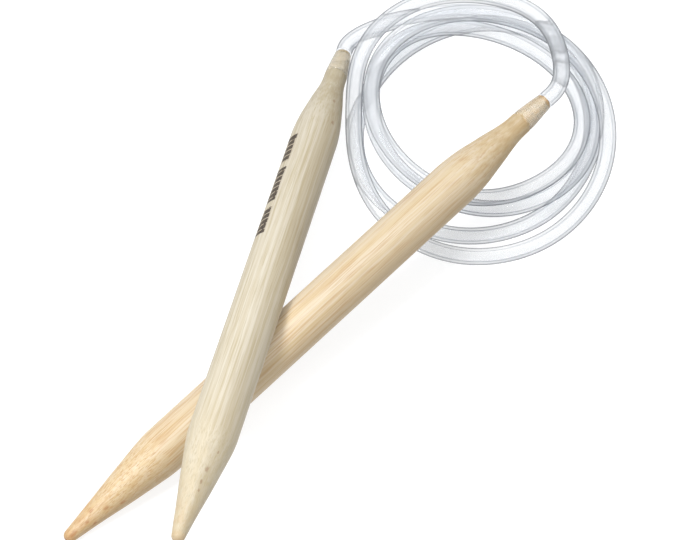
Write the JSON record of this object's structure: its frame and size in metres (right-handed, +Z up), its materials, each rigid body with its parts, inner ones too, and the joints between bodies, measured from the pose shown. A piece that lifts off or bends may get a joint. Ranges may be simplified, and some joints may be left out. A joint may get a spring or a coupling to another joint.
{
  "type": "circular knitting needle",
  "caption": "Circular knitting needle: tapered bamboo tips joined end to end by a long clear flexible tube, shown coiled with the tips crossed.",
  "frame": {"origin": "middle of the coiled tube, on the table plane it rests on", "axes": "+Z up off the table; -Y towards the two needle points, which lie on the table side; +X to the right across the coil. The tips are not parallel to an axis."},
  "size_m": [0.1145, 0.1473, 0.0305],
  "materials": {
    "bamboo_pale": "smooth waxed bamboo, fine lengthwise fibres",
    "bamboo_warm": "smooth waxed bamboo, warmer and more streaked",
    "adhesive": "thin clear adhesive film",
    "clear_tube": "clear flexible plastic tube, glossy"
  },
  "bodies": {
    "coil": {"tube_coil": "clear_tube"},
    "left_lead_outer": {"tube_left_lead_root": "clear_tube"},
    "left_lead_inner": {"tube_left_lead_end": "clear_tube"},
    "left_tip": {"left_needle": "bamboo_pale", "left_glue": "adhesive", "tube_left_sleeve": "clear_tube"},
    "right_lead": {"tube_right_lead": "clear_tube"},
    "right_tip": {"right_needle": "bamboo_warm", "right_glue": "adhesive", "tube_right_sleeve": "clear_tube"}
  },
  "joints": [
    {"name": "left_tip_carry", "type": "hinge", "parent": "coil", "child": "left_lead_outer", "pos_m": [-0.01054, 0.02768, 0.0039], "axis": [-0.9712, 0.2382, 0], "range_deg": [0, 45], "stiffness_Nm_per_rad": 0.014, "deforming": ["tube_left_lead_root"]},
    {"name": "left_tip_lift", "type": "hinge", "parent": "left_lead_outer", "child": "left_lead_inner", "pos_m": [-0.01967, 0.02381, 0.00509], "axis": [-0.9712, 0.2382, 0], "range_deg": [0, 50], "stiffness_Nm_per_rad": 0.014, "deforming": ["tube_left_lead_end"]},
    {"name": "left_tip_swing", "type": "hinge", "parent": "left_lead_inner", "child": "left_tip", "pos_m": [-0.02687, 0.01865, 0.0064], "axis": [0, 0, -1], "range_deg": [0, 55], "stiffness_Nm_per_rad": 0.014, "deforming": ["tube_left_lead_end"]},
    {"name": "right_tip_swing", "type": "hinge", "parent": "coil", "child": "right_lead", "pos_m": [0.01354, 0.0123, 0.02205], "axis": [0, 0, 1], "range_deg": [0, 45], "stiffness_Nm_per_rad": 0.014, "deforming": ["tube_right_lead"]},
    {"name": "right_tip_lift", "type": "hinge", "parent": "right_lead", "child": "right_tip", "pos_m": [0.01696, -0.00291, 0.02453], "axis": [-0.682, 0.7314, 0], "range_deg": [0, 40], "stiffness_Nm_per_rad": 0.014, "deforming": ["tube_right_lead"]}
  ],
  "couplings": [
    {"joint": "left_tip_carry", "follows": "right_tip_lift", "ratio": 1.1}
  ]
}
